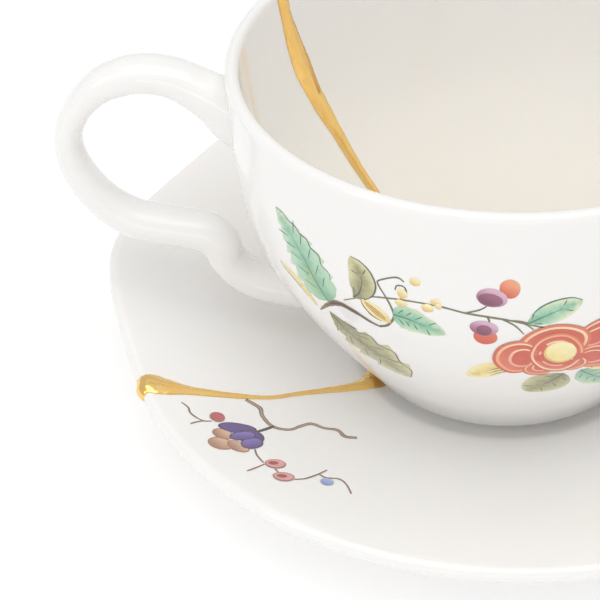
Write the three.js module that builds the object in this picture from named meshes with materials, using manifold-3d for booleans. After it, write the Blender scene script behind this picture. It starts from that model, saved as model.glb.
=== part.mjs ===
// Kintsugi cup and saucer: a porcelain teacup with an ear handle on a saucer whose back half is a
// lobed sherd, both mended with raised gold seams. Millimetres, +Z up, the handle on the -X side.
import * as THREE from 'three';
import { mergeVertices } from 'three/addons/utils/BufferGeometryUtils.js';
import Module from 'manifold-3d';

const wasm = await Module();
wasm.setup();

// Cup
const rimRadius = 52;
const cupHeight = 68.2;
const cupWall = 2.6;
const cupFloor = 3.4;
const bodyFootRadius = 28.6;
const cupFootRadius = 25.4;
const cupFootWidth = 2.8;
const cupFootHeight = 2;
const cupFootRecess = 1.4;
const baseCorner = 10;

// Spots of the belly, as shares of the wall's height and of the rim's radius
const bellyRadii = [[0.2, 0.702], [0.36, 0.832], [0.52, 0.93], [0.7, 0.979]];

// Handle: shares of its reach and height, then of its width and thickness, from the upper root down
const handleReach = 34.5;
const handleHeight = 55;
const handleTopGap = 3.7;
const handleWidth = 8.6;
const handleThickness = 7;
const handleSink = 1.3;
const handlePath = [
  [-0.19, 0.775, 1.35, 2.3], [0, 0.845, 1.25, 1.8], [0.11, 0.895, 1.1, 1.35], [0.2, 0.935, 1.05, 1.15],
  [0.33, 0.982, 1, 1.02], [0.475, 1, 1, 0.98], [0.6, 0.99, 0.97, 0.95], [0.73, 0.956, 0.94, 0.88],
  [0.85, 0.885, 0.9, 0.78], [0.925, 0.8, 0.88, 0.75], [0.948, 0.72, 0.88, 0.76], [0.925, 0.63, 0.9, 0.83],
  [0.85, 0.53, 0.94, 0.9], [0.75, 0.455, 0.97, 0.96], [0.63, 0.402, 1, 1.05], [0.487, 0.377, 1, 1.07],
  [0.345, 0.359, 1, 1.08], [0.225, 0.337, 1.02, 1.16], [0.156, 0.287, 1.04, 1.12], [0.122, 0.22, 1.04, 1],
  [0.045, 0.157, 1.05, 0.97], [-0.05, 0.12, 1.06, 1], [-0.162, 0.1, 1.08, 1.05], [-0.28, 0.09, 1.15, 1.15],
  [-0.6, 0.08, 1.4, 1.5],
];

// Saucer
const saucerRadius = 75.5;
const saucerRimHeight = 16.9;
const saucerWall = 3;
const wellHeight = 4.5;
const wellRadius = 28;
const wellStep = 0.9;
const wellStepWidth = 3.4;
const saucerFootRadius = 36;
const saucerFootWidth = 3;
const saucerFootHeight = 2.4;
const saucerFootClearance = 2;
const saucerRecess = 1.1;

// Lobed back sherd of the saucer
const lobedGrowth = 4.4;
const lobeDepth = 0.9;
const lobeCount = 8;
const lobeTurn = 172.5;
const lobedRise = 5;
const fluteDepth = 0.35;
const sherdStart = -14;
const sherdEnd = 202;
const sherdBlend = 31.5;

// Gold seams
const seamHalfHeight = 0.7;
const seamLift = 0.2;
const seamSunk = 0.15;
const seamGap = 0.3;
const cupSeamHalfWidth = 2.1;
const saucerSeamHalfWidth = 1.5;
const seamDive = 2;

// Courses of the cup's seam: turns in degrees with shares of the wall's height, in running order
const outerLeftCourse = [[151, 0.1], [150, 0.24], [152, 0.38], [153.5, 0.52], [152, 0.66], [152, 0.8],
  [151, 0.93]];
const innerLeftCourse = [[149.7, 0.92], [147.5, 0.8], [144.9, 0.69], [141.8, 0.57], [140.3, 0.47],
  [138.3, 0.37], [135.4, 0.26], [131, 0.16], [126, 0.09]];
const innerRightCourse = [[318, 0.09], [319, 0.16], [321, 0.26], [322.5, 0.38], [324, 0.52], [322.5, 0.66],
  [321, 0.8], [321.6, 0.92]];
const outerRightCourse = [[321.6, 0.93], [321, 0.8], [322.5, 0.66], [324, 0.52], [322.5, 0.38], [321, 0.24],
  [322, 0.1]];
const lipTurns = [150.4, 322];

// Across the cup's floor: shares of the body's foot radius with turns
const floorCourse = [[0.77, 119], [0.35, 96], [0.35, 345], [0.77, 322]];

// Across the saucer: shares of its radius with turns, then under its edge with shares of the rim's height
const dishCourse = [[0.98, 201.7], [0.86, 203.7], [0.75, 206.2], [0.6, 207.5], [0.5, 208.3], [0.42, 209.5],
  [0.35, 207], [0.2, 216], [0.13, 262], [0.24, 322], [0.42, 338], [0.6, 341], [0.8, 344.5], [0.98, 346]];
const edgeCourse = [[1.01, 0.83], [0.98, 0.7], [0.86, 0.44], [0.72, 0.26], [0.56, 0.13]];

// Fineness of the facets
const turnSegments = 48;
const handleSteps = 33;
const handleSides = 12;
const seamSides = 6;
const ringsPerSpot = 2;
const wallRows = 8;
const cornerRows = 3;
const dishRows = 6;
const edgeRows = 4;

const porcelain = { color: 0xf3f0ea, roughness: 0.14, metalness: 0 };
const gold = { color: 0xd9a441, roughness: 0.22, metalness: 1 };

const toRadians = THREE.MathUtils.degToRad;
const pointAt = (radius, degrees, z) =>
  new THREE.Vector3(radius * Math.cos(toRadians(degrees)), radius * Math.sin(toRadians(degrees)), z);

// Closed surfaces become solids and back

function toSolid(geometry) {
  const plain = geometry.clone();
  plain.deleteAttribute('normal');
  plain.deleteAttribute('uv');
  const merged = mergeVertices(plain, 1e-4);
  return new wasm.Manifold(new wasm.Mesh({
    numProp: 3,
    vertProperties: new Float32Array(merged.attributes.position.array),
    triVerts: new Uint32Array(merged.index.array),
  }));
}

function toGeometry(solid) {
  const mesh = solid.getMesh();
  const geometry = new THREE.BufferGeometry();
  geometry.setAttribute('position', new THREE.BufferAttribute(mesh.vertProperties, 3));
  geometry.setIndex(new THREE.BufferAttribute(mesh.triVerts, 1));
  geometry.computeVertexNormals();
  return geometry;
}

// Profiles run from the axis round the outside and back to the axis, as points of radius and height

function arc(centre, radius, from, to, steps) {
  return Array.from({ length: steps + 1 }, (_, i) => {
    const angle = toRadians(from + (to - from) * i / steps);
    return new THREE.Vector2(centre.x + radius * Math.cos(angle), centre.y + radius * Math.sin(angle));
  });
}

function offsetCurve(curve, distanceAt, steps, start = 0) {
  return Array.from({ length: steps + 1 }, (_, i) => {
    const share = start + (1 - start) * i / steps;
    const point = curve.getPoint(share);
    const along = curve.getTangent(share);
    return new THREE.Vector2(point.x - along.y * distanceAt(share), point.y + along.x * distanceAt(share));
  });
}

const cupBottom = wellHeight;
const bodyBottom = cupBottom + cupFootHeight;
const floorHeight = cupBottom + cupFootRecess + cupFloor;
const lipRadius = cupWall / 2;
const lipCentre = new THREE.Vector2(rimRadius - lipRadius, cupBottom + cupHeight - lipRadius);

function cupOuterCurve() {
  const span = lipCentre.y - cupBottom;
  const belly = bellyRadii.map(([height, radius]) =>
    new THREE.Vector2(rimRadius * radius, cupBottom + span * height));
  return new THREE.SplineCurve([
    new THREE.Vector2(bodyFootRadius, bodyBottom), ...belly, new THREE.Vector2(rimRadius, lipCentre.y),
  ]);
}

function cupProfile() {
  const outer = cupOuterCurve();
  const outside = outer.getPoints(wallRows);
  const wallAt = (share) => cupWall + (cupFloor - cupWall) * (1 - share) ** 2;
  const inside = offsetCurve(outer, wallAt, wallRows).slice(0, -1).reverse();
  const wallEnd = inside.findLastIndex((point) => point.y > floorHeight + baseCorner / 3);
  const last = inside[wallEnd];
  const turn = new THREE.QuadraticBezierCurve(
    last,
    new THREE.Vector2(last.x - baseCorner * 0.42, floorHeight),
    new THREE.Vector2(last.x - baseCorner * 1.8, floorHeight),
  );
  return [
    new THREE.Vector2(0, cupBottom + cupFootRecess),
    new THREE.Vector2(cupFootRadius - cupFootWidth - cupFootRecess / 2, cupBottom + cupFootRecess),
    new THREE.Vector2(cupFootRadius - cupFootWidth, cupBottom),
    new THREE.Vector2(cupFootRadius, cupBottom),
    new THREE.Vector2(cupFootRadius + cupFootHeight / 5, bodyBottom - cupFootHeight / 3),
    ...outside,
    ...arc(lipCentre, lipRadius, 0, 180, edgeRows).slice(1),
    ...inside.slice(0, wallEnd),
    ...turn.getPoints(cornerRows),
    new THREE.Vector2(0, floorHeight),
  ];
}

function saucerTopCurve() {
  const edge = saucerRadius - saucerWall / 2;
  const rise = saucerRimHeight - wellHeight - wellStep;
  const start = wellRadius + wellStepWidth;
  return new THREE.CubicBezierCurve(
    new THREE.Vector2(start, wellHeight + wellStep),
    new THREE.Vector2(start + (edge - start) * 0.36, wellHeight + wellStep + rise * 0.1),
    new THREE.Vector2(start + (edge - start) * 0.7, wellHeight + wellStep + rise * 0.66),
    new THREE.Vector2(edge, saucerRimHeight),
  );
}

function saucerProfile() {
  const top = saucerTopCurve();
  const fine = dishRows * 40;
  const start = top.getPoints(fine).findIndex((point) => point.x > saucerFootRadius + saucerFootClearance);
  const under = offsetCurve(top, () => -saucerWall, dishRows, start / fine);
  const edge = top.getPoint(1);
  const along = top.getTangent(1);
  const slope = THREE.MathUtils.radToDeg(Math.atan2(along.y, along.x));
  const edgeCentre = new THREE.Vector2(
    edge.x + along.y * saucerWall / 2,
    edge.y - along.x * saucerWall / 2,
  );
  return [
    new THREE.Vector2(0, saucerRecess),
    new THREE.Vector2(saucerFootRadius - saucerFootWidth - saucerRecess, saucerRecess),
    new THREE.Vector2(saucerFootRadius - saucerFootWidth, 0),
    new THREE.Vector2(saucerFootRadius, 0),
    new THREE.Vector2(saucerFootRadius + saucerFootHeight / 5, saucerFootHeight),
    ...under.slice(0, -1),
    ...arc(edgeCentre, saucerWall / 2, slope - 90, slope + 90, edgeRows),
    ...top.getPoints(dishRows).reverse().slice(1),
    new THREE.Vector2(wellRadius + wellStepWidth / 3, wellHeight + wellStep * 0.4),
    new THREE.Vector2(wellRadius, wellHeight),
    new THREE.Vector2(0, wellHeight),
  ];
}

function turned(profile) {
  const geometry = new THREE.LatheGeometry(profile, turnSegments);
  geometry.rotateX(Math.PI / 2);
  return geometry;
}

// The back sherd of the saucer is larger, rises a little and waves in lobes

function sherdShare(degrees) {
  const turn = THREE.MathUtils.euclideanModulo(degrees - sherdStart, 360);
  const inside = Math.min(turn, sherdEnd - sherdStart - turn);
  return THREE.MathUtils.smoothstep(inside, 0, sherdBlend);
}

function warpToSherd(point) {
  const radius = Math.hypot(point.x, point.y);
  if (radius <= wellRadius + wellStepWidth) {
    return point;
  }
  const degrees = THREE.MathUtils.radToDeg(Math.atan2(point.y, point.x));
  const out = (radius - wellRadius - wellStepWidth) / (saucerRadius - wellRadius - wellStepWidth);
  const share = sherdShare(degrees) * out * out * (1.6 - 0.6 * out);
  const wave = Math.cos(toRadians(lobeCount * (degrees - lobeTurn)));
  const grown = radius + share * (lobedGrowth + lobeDepth * wave);
  return point.set(
    point.x * grown / radius,
    point.y * grown / radius,
    point.z + share * (lobedRise + fluteDepth * wave),
  );
}

function warpGeometry(geometry) {
  const position = geometry.attributes.position;
  const point = new THREE.Vector3();
  for (let i = 0; i < position.count; i += 1) {
    warpToSherd(point.fromBufferAttribute(position, i));
    position.setXYZ(i, point.x, point.y, point.z);
  }
  return geometry;
}

// A cylinder bent so that ring i takes the centre, the two half axes and their sizes of stations[i]

function bentCylinder(stations, sides) {
  const steps = stations.length - 1;
  const geometry = new THREE.CylinderGeometry(1, 1, 1, sides, steps);
  const position = geometry.attributes.position;
  const point = new THREE.Vector3();
  for (let i = 0; i < position.count; i += 1) {
    const station = stations[Math.round((0.5 - position.getY(i)) * steps)];
    point.copy(station.centre)
      .addScaledVector(station.side, position.getX(i) * station.halfWidth)
      .addScaledVector(station.normal, position.getZ(i) * station.halfHeight);
    position.setXYZ(i, point.x, point.y, point.z);
  }
  return geometry;
}

// Handle: a bent cylinder in the XZ plane that ends inside the cup's wall

function handleStations() {
  const top = cupBottom + cupHeight - handleTopGap;
  const place = ([out, up]) => new THREE.Vector3(
    handleSink - rimRadius - handleReach * out,
    0,
    top - handleHeight * (1 - up),
  );
  const path = new THREE.CatmullRomCurve3(handlePath.map(place), false, 'centripetal');
  const across = new THREE.Vector3(0, 1, 0);
  return Array.from({ length: handleSteps + 1 }, (_, i) => {
    const share = i / handleSteps;
    const index = share * (handlePath.length - 1);
    const low = Math.min(Math.floor(index), handlePath.length - 2);
    const mix = (k) => THREE.MathUtils.lerp(handlePath[low][k], handlePath[low + 1][k], index - low);
    const tangent = path.getTangent(share);
    return {
      centre: path.getPoint(share),
      side: across,
      normal: new THREE.Vector3().crossVectors(tangent, across),
      halfWidth: handleWidth / 2 * mix(2),
      halfHeight: handleThickness / 2 * mix(3),
    };
  });
}

// Gold seams: a path is sampled, laid onto the surface of revolution and given the surface's normal

function layOnProfile(point, profile) {
  const flat = new THREE.Vector2(Math.hypot(point.x, point.y), point.z);
  const best = { distance: Infinity };
  for (let i = 0; i < profile.length - 1; i += 1) {
    const along = profile[i + 1].clone().sub(profile[i]);
    const share = THREE.MathUtils.clamp(
      flat.clone().sub(profile[i]).dot(along) / along.lengthSq(), 0, 1);
    const foot = profile[i].clone().addScaledVector(along, share);
    const distance = foot.distanceTo(flat);
    if (distance < best.distance) {
      Object.assign(best, { distance, foot, along: along.normalize() });
    }
  }
  const scale = best.foot.x / flat.x;
  const normal = new THREE.Vector3(
    best.along.y * point.x / flat.x, best.along.y * point.y / flat.x, -best.along.x);
  return { point: new THREE.Vector3(point.x * scale, point.y * scale, best.foot.y), normal };
}

function seamStations(path, profile, halfWidthAt, liftAt, gap) {
  const count = ringsPerSpot * (path.points.length - 1);
  const laid = path.getPoints(count).map((point) => layOnProfile(point, profile));
  return laid.map(({ point, normal }, i) => {
    const before = laid[Math.max(i - 1, 0)];
    const after = laid[Math.min(i + 1, count)];
    const tangent = after.point.clone().sub(before.point).normalize();
    const mean = before.normal.clone().add(normal).add(after.normal);
    mean.addScaledVector(tangent, -mean.dot(tangent)).normalize();
    const end = Math.min(i, count - i) / 2;
    const taper = Math.min(1, 0.45 + end * 0.55);
    const reach = (i === 0 ? -gap : 0) + (i === count ? gap : 0);
    return {
      centre: point.clone().addScaledVector(mean, liftAt(point)).addScaledVector(tangent, reach),
      side: new THREE.Vector3().crossVectors(mean, tangent),
      normal: mean,
      halfWidth: halfWidthAt(i / count, point) * taper + gap,
      halfHeight: seamHalfHeight * taper + gap,
    };
  });
}

const unevenness = (share, phase) =>
  1 + 0.14 * Math.sin(23 * share + phase) + 0.1 * Math.sin(57 * share + 2 * phase);

function outerRadiusAt(height) {
  const spots = cupOuterCurve().getPoints(60);
  const above = Math.max(1, spots.findIndex((spot) => spot.y >= height));
  const [low, high] = [spots[above - 1], spots[above]];
  return THREE.MathUtils.mapLinear(height, low.y, high.y, low.x, high.x);
}

// A seam point near the wall lies this share of the wall's thickness off it, and is laid on it later
const offWall = 0.5;

function cupSeamPath() {
  const strand = (course, inner) => course.map(([turn, share]) => {
    const height = bodyBottom + (lipCentre.y - bodyBottom) * share;
    return pointAt(outerRadiusAt(height) + cupWall * (inner ? -1 - offWall : offWall), turn, height);
  });
  const lip = (turn) => arc(lipCentre, lipRadius, 0, 180, edgeRows)
    .map((spot) => pointAt(spot.x, turn, spot.y));
  const onFloor = floorCourse.map(([share, turn]) =>
    pointAt(bodyFootRadius * share, turn, floorHeight + cupWall * offWall));
  return new THREE.CatmullRomCurve3([
    ...strand(outerLeftCourse, false),
    ...lip(lipTurns[0]),
    ...strand(innerLeftCourse, true),
    ...onFloor,
    ...strand(innerRightCourse, true),
    ...lip(lipTurns[1]).reverse(),
    ...strand(outerRightCourse, false),
  ], false, 'centripetal');
}

function saucerSeamPath() {
  const wellShare = wellRadius / saucerRadius;
  const onTop = dishCourse.map(([share, turn]) => pointAt(
    saucerRadius * share,
    turn,
    THREE.MathUtils.mapLinear(Math.max(share, wellShare), wellShare, 1, wellHeight, saucerRimHeight),
  ));
  const beneath = ([, turn]) => edgeCourse.map(([share, height]) =>
    pointAt(saucerRadius * share, turn, saucerRimHeight * height));
  return new THREE.CatmullRomCurve3(
    [...beneath(dishCourse[0]).reverse(), ...onTop, ...beneath(dishCourse.at(-1))], false, 'centripetal');
}

// Solids

const cupOutline = cupProfile();
const saucerOutline = saucerProfile();

const cupSeam = (gap) => bentCylinder(seamStations(
  cupSeamPath(),
  cupOutline,
  (share) => cupSeamHalfWidth * unevenness(share, 1.3),
  () => seamLift,
  gap,
), seamSides);

const inWell = (point) => 1 - THREE.MathUtils.smoothstep(
  Math.hypot(point.x, point.y), wellRadius - seamDive / 4, wellRadius + seamDive * 0.75);

const saucerSeam = (gap) => warpGeometry(bentCylinder(seamStations(
  saucerSeamPath(),
  saucerOutline,
  (share) => saucerSeamHalfWidth * unevenness(share, 0.4),
  (point) => THREE.MathUtils.lerp(seamLift, -seamHalfHeight - seamSunk, inWell(point)),
  gap,
), seamSides));

function makeCup() {
  const crown = cupOutline.findIndex((point) => point.y > cupBottom + cupHeight - lipRadius / 2);
  const body = toSolid(turned(cupOutline));
  const bore = toSolid(turned([
    new THREE.Vector2(0, floorHeight),
    ...cupOutline.slice(crown, -1).reverse(),
    new THREE.Vector2(0, cupOutline[crown].y),
  ]));
  const handle = toSolid(bentCylinder(handleStations(), handleSides)).subtract(bore);
  return toGeometry(body.add(handle).subtract(toSolid(cupSeam(seamGap))));
}

function makeSaucer() {
  const dish = toSolid(warpGeometry(turned(saucerOutline)));
  return toGeometry(dish.subtract(toSolid(saucerSeam(seamGap))));
}

function named(name, geometry, finish) {
  const mesh = new THREE.Mesh(geometry, new THREE.MeshStandardMaterial(finish));
  mesh.name = name;
  return mesh;
}

const set = new THREE.Group();
set.add(
  named('saucer', makeSaucer(), porcelain),
  named('cup', makeCup(), porcelain),
  named('saucer_gold_seam', saucerSeam(0), gold),
  named('cup_gold_seam', cupSeam(0), gold),
);

// The origin is under the middle of the whole outline, at the level that the saucer stands on
const outline = new THREE.Box3().setFromObject(set);
const middle = outline.getCenter(new THREE.Vector3());
set.position.set(-middle.x, -middle.y, 0);

const model = new THREE.Group();
model.add(set);

export default model;
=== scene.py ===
# Kintsugi cup and saucer: fine porcelain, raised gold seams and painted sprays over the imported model
import math
import bmesh
import bpy
from mathutils import Matrix, Vector, noise


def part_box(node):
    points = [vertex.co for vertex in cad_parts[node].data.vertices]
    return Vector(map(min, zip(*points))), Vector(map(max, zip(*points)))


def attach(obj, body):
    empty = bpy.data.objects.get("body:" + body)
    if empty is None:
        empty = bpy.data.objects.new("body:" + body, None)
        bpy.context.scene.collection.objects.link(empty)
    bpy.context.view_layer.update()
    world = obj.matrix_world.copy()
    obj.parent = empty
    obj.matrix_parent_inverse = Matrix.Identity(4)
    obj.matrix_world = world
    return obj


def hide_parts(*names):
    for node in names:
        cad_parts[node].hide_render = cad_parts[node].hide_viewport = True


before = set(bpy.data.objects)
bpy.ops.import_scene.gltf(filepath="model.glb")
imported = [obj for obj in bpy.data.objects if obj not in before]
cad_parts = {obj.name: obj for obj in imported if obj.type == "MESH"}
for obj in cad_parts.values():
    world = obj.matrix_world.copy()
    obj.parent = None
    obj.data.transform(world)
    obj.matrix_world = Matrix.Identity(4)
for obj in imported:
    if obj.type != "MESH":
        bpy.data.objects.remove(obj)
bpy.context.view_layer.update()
print("stage: frame loaded")

mm = 0.001
cupLow, cupHigh = (Vector(corner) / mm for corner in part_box("cup"))
saucerLow, saucerHigh = (Vector(corner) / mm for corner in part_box("saucer"))
rimRadius = (cupHigh.y - cupLow.y) / 2
axis = Vector((cupHigh.x - rimRadius, (cupHigh.y + cupLow.y) / 2, 0))
cupBottom = cupLow.z
cupHeight = cupHigh.z - cupLow.z


# Curves, worked out in millimetres about the axis of the cup

# One smooth curve through all the points, each span an equal share of it
def splinePoint(points, share):
    index = share * (len(points) - 1)
    low = min(int(index), len(points) - 2)
    part = index - low
    before = points[max(low - 1, 0)]
    start, end = points[low], points[low + 1]
    after = points[min(low + 2, len(points) - 1)]
    out = []
    for a, b, c, d in zip(before, start, end, after):
        leave, arrive = (c - a) / 2, (d - b) / 2
        cube = 2 * b - 2 * c + leave + arrive
        square = -3 * b + 3 * c - 2 * leave - arrive
        out.append(((cube * part + square) * part + leave) * part + b)
    return Vector(out)


def splinePoints(points, count):
    return [splinePoint(points, i / count) for i in range(count + 1)]


def splineSlope(points, share):
    step = 0.002
    ahead = splinePoint(points, min(share + step, 1))
    behind = splinePoint(points, max(share - step, 0))
    return (ahead - behind).normalized()


def arcPoints(centre, radius, start, end, count):
    turns = [math.radians(start + (end - start) * i / count) for i in range(count + 1)]
    return [Vector((centre[0] + radius * math.cos(t), centre[1] + radius * math.sin(t))) for t in turns]


def bezierPoints(points, count):
    def at(share):
        row = list(points)
        while len(row) > 1:
            row = [a.lerp(b, share) for a, b in zip(row, row[1:])]
        return row[0]
    return [at(i / count) for i in range(count + 1)]


def pointAt(radius, degrees, height):
    turn = math.radians(degrees)
    return Vector((radius * math.cos(turn), radius * math.sin(turn), height))


def smoothStep(value, low, high):
    share = min(max((value - low) / (high - low), 0), 1)
    return share * share * (3 - 2 * share)


# Looks a value up in pairs that straight lines join
def readLine(pairs, wanted):
    after = next((i for i in range(1, len(pairs)) if pairs[i][0] >= wanted), len(pairs) - 1)
    low, high = pairs[after - 1], pairs[after]
    return low[1] + (high[1] - low[1]) * (wanted - low[0]) / (high[0] - low[0])


# Cup: the outline that is turned, with its foot ring and lip

cupValues = {
    "wall": 2.6,
    "floor": 3.4,
    "bodyFoot": 28.6,
    "footRadius": 25.4,
    "footWidth": 2.8,
    "footHeight": 2.0,
    "footRecess": 1.4,
    "innerCorner": 0.4,
    "outerCorner": 0.5,
    "baseCorner": 10.0,
    # height and radius of the wall as shares, from the foot up
    "belly": ((0.2, 0.702), (0.36, 0.832), (0.52, 0.93), (0.7, 0.979)),
    "turns": 256,
    # the painted shade towards the floor of the bowl: how far below the inside floor it begins, how far
    # above it stays full, and the share of the cup's height over which it thins out
    "bowlShadeStart": 0.5,
    "bowlShadeFull": 8.0,
    "bowlShadeEnd": 0.85,
}

bodyBottom = cupBottom + cupValues["footHeight"]
floorHeight = cupBottom + cupValues["footRecess"] + cupValues["floor"]
lipRadius = cupValues["wall"] / 2
lipCentre = Vector((rimRadius - lipRadius, cupBottom + cupHeight - lipRadius))
outerSpots = [Vector((cupValues["bodyFoot"], bodyBottom))]
outerSpots += [
    Vector((rimRadius * radius, cupBottom + (lipCentre.y - cupBottom) * height))
    for height, radius in cupValues["belly"]
]
outerSpots += [Vector((rimRadius, lipCentre.y))]
wallRows = 60
wallRadii = [(spot.y, spot.x) for spot in splinePoints(outerSpots, 80)]


def outerRadiusAt(height):
    return readLine(wallRadii, height)


def cupInside():
    rows = []
    for i in range(wallRows):
        share = i / wallRows
        wall = cupValues["wall"] + (cupValues["floor"] - cupValues["wall"]) * (1 - share) ** 2
        slope = splineSlope(outerSpots, share)
        spot = splinePoint(outerSpots, share)
        rows.append(Vector((spot.x - slope.y * wall, spot.y + slope.x * wall)))
    rows = [row for row in reversed(rows) if row.y > floorHeight + cupValues["baseCorner"] / 3]
    last = rows[-1]
    corner = cupValues["baseCorner"]
    turn = bezierPoints([
        last,
        Vector((last.x - corner / 2.4, floorHeight)),
        Vector((last.x - 1.8 * corner, floorHeight)),
    ], 14)
    return rows[:-1] + turn


def cupProfile():
    foot, width, recess = cupValues["footRadius"], cupValues["footWidth"], cupValues["footRecess"]
    height, inner, outer = (cupValues[key] for key in ("footHeight", "innerCorner", "outerCorner"))
    return [
        Vector((0, cupBottom + recess)),
        Vector((foot - width - recess / 2, cupBottom + recess)),
        *arcPoints((foot - width + inner, cupBottom + inner), inner, 200, 270, 3),
        *arcPoints((foot - outer, cupBottom + outer), outer, 270, 350, 4),
        Vector((foot + height / 5, bodyBottom - height / 3)),
        *bezierPoints([
            Vector((foot + height / 4, bodyBottom - height / 6)),
            Vector((foot + height / 2, bodyBottom)),
            outerSpots[0],
        ], 5)[:-1],
        *splinePoints(outerSpots, wallRows),
        *arcPoints(lipCentre, lipRadius, 0, 180, 12)[1:],
        *cupInside(),
        Vector((0, floorHeight)),
    ]


# Saucer: turned, then its lobed part is drawn outwards and up

saucerValues = {
    "radius": 75.5,
    "rimHeight": 16.9,
    "wall": 3.0,
    "wellHeight": cupBottom,
    "wellRadius": 28.0,
    "wellStep": 0.9,
    "wellStepWidth": 3.4,
    "footRadius": 36.0,
    "footWidth": 3.0,
    "footHeight": 2.4,
    "recess": 1.1,
    "innerCorner": 0.5,
    "outerCorner": 0.6,
    "underStart": 2.0,
    # shares of the way out and up: the two handles of the dish's curve, then the step down to the well
    "topCurve": ((0.36, 0.1), (0.7, 0.66)),
    "stepCurve": ((1, 1), (0.55, 0.8), (0.4, 0)),
    # the lobed part: its growth in millimetres, its start and end in degrees
    "lobedGrowth": 4.4,
    "lobeDepth": 0.9,
    "lobeCount": 8,
    "lobeTurn": 172.5,
    "lobedRise": 5.0,
    "fluteDepth": 0.35,
    "sherdStart": -14.0,
    "sherdEnd": 202.0,
    "sherdBlend": 31.5,
    "sherdBulge": 0.6,
    "turns": 360,
    # set further down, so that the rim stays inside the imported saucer
    "fit": 1.0,
}


def saucerTop():
    v = saucerValues
    edge = v["radius"] - v["wall"] / 2
    base = v["wellHeight"] + v["wellStep"]
    rise = v["rimHeight"] - base
    start = v["wellRadius"] + v["wellStepWidth"]
    handles = [Vector((start + (edge - start) * out, base + rise * up)) for out, up in v["topCurve"]]
    return bezierPoints([Vector((start, base)), *handles, Vector((edge, v["rimHeight"]))], 44)


def saucerProfile():
    v = saucerValues
    top = saucerTop()
    under = []
    for before, after in zip(top, top[1:]):
        slope = (after - before).normalized()
        spot = (after + before) / 2 + Vector((slope.y, -slope.x)) * v["wall"]
        if spot.x > v["footRadius"] + v["underStart"]:
            under.append(spot)
    slope = (top[-1] - top[-2]).normalized()
    turn = math.degrees(math.atan2(slope.y, slope.x))
    edge = top[-1] + Vector((slope.y, -slope.x)) * v["wall"] / 2
    foot, width, inner, outer = v["footRadius"], v["footWidth"], v["innerCorner"], v["outerCorner"]
    step = [
        Vector((v["wellRadius"] + v["wellStepWidth"] * out, v["wellHeight"] + v["wellStep"] * up))
        for out, up in v["stepCurve"]
    ]
    step.append(Vector((v["wellRadius"] - 1, v["wellHeight"])))
    return [
        Vector((0, v["recess"])),
        Vector((foot - width - v["recess"], v["recess"])),
        *arcPoints((foot - width + inner, inner), inner, 200, 270, 3),
        *arcPoints((foot - outer, outer), outer, 270, 350, 4),
        Vector((foot + v["footHeight"] / 5, v["footHeight"])),
        *under,
        *arcPoints(edge, v["wall"] / 2, turn - 90, turn + 90, 12),
        *list(reversed(top))[1:],
        *bezierPoints(step, 8)[1:],
        Vector((0, v["wellHeight"])),
    ]


def sherdShare(degrees):
    v = saucerValues
    turn = (degrees - v["sherdStart"]) % 360
    inside = min(turn, v["sherdEnd"] - v["sherdStart"] - turn)
    return smoothStep(inside, 0, v["sherdBlend"])


# Draws the lobed part outwards and up, more and more towards the rim
def warpToSherd(point):
    v = saucerValues
    radius = math.hypot(point.x, point.y)
    start = v["wellRadius"] + v["wellStepWidth"]
    if radius <= start:
        return point
    degrees = math.degrees(math.atan2(point.y, point.x))
    out = (radius - start) / (v["radius"] - start)
    share = sherdShare(degrees) * out * out * (1 + v["sherdBulge"] - v["sherdBulge"] * out)
    wave = math.cos(math.radians(v["lobeCount"] * (degrees - v["lobeTurn"])))
    grown = (radius + share * (v["lobedGrowth"] + v["lobeDepth"] * wave)) / radius
    grown *= 1 - (1 - v["fit"]) * out
    lift = share * (v["lobedRise"] + v["fluteDepth"] * wave)
    return Vector((point.x * grown, point.y * grown, point.z + lift))


def fitToFrame():
    widest = max(spot.x for spot in saucerProfile())
    rim = [warpToSherd(pointAt(widest, degrees / 2, 0)) for degrees in range(720)]
    return min(
        (saucerHigh.x - axis.x) / max(point.x for point in rim),
        (saucerLow.x - axis.x) / min(point.x for point in rim),
        (saucerHigh.y - axis.y) / max(point.y for point in rim),
        (saucerLow.y - axis.y) / min(point.y for point in rim),
        1,
    )


saucerValues["fit"] = fitToFrame()


# Meshes

def finishPiece(name, mesh, material, node=None):
    for vert in mesh.verts:
        vert.co = (vert.co + axis) * mm
    data = bpy.data.meshes.new(name)
    mesh.to_mesh(data)
    mesh.free()
    data.shade_smooth()
    piece = bpy.data.objects.new(name, data)
    bpy.context.scene.collection.objects.link(piece)
    piece.data.materials.append(material)
    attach(piece, "root")
    if node:
        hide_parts(node)
    places = [vert.co / mm for vert in data.vertices]
    low, high = ([round(pick(place[i] for place in places), 2) for i in range(3)] for pick in (min, max))
    print("stage:", name, len(data.polygons), "faces, from", low, "to", high)
    return piece


def turnedMesh(profile, turns):
    mesh = bmesh.new()
    verts = [mesh.verts.new((spot.x, 0, spot.y)) for spot in profile]
    edges = [mesh.edges.new(pair) for pair in zip(verts, verts[1:])]
    bmesh.ops.spin(
        mesh, geom=verts + edges, axis=(0, 0, 1), cent=(0, 0, 0),
        angle=2 * math.pi, steps=turns, use_merge=True, use_duplicate=False,
    )
    bmesh.ops.remove_doubles(mesh, verts=mesh.verts, dist=1e-4)
    bmesh.ops.recalc_face_normals(mesh, faces=mesh.faces)
    return mesh


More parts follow.
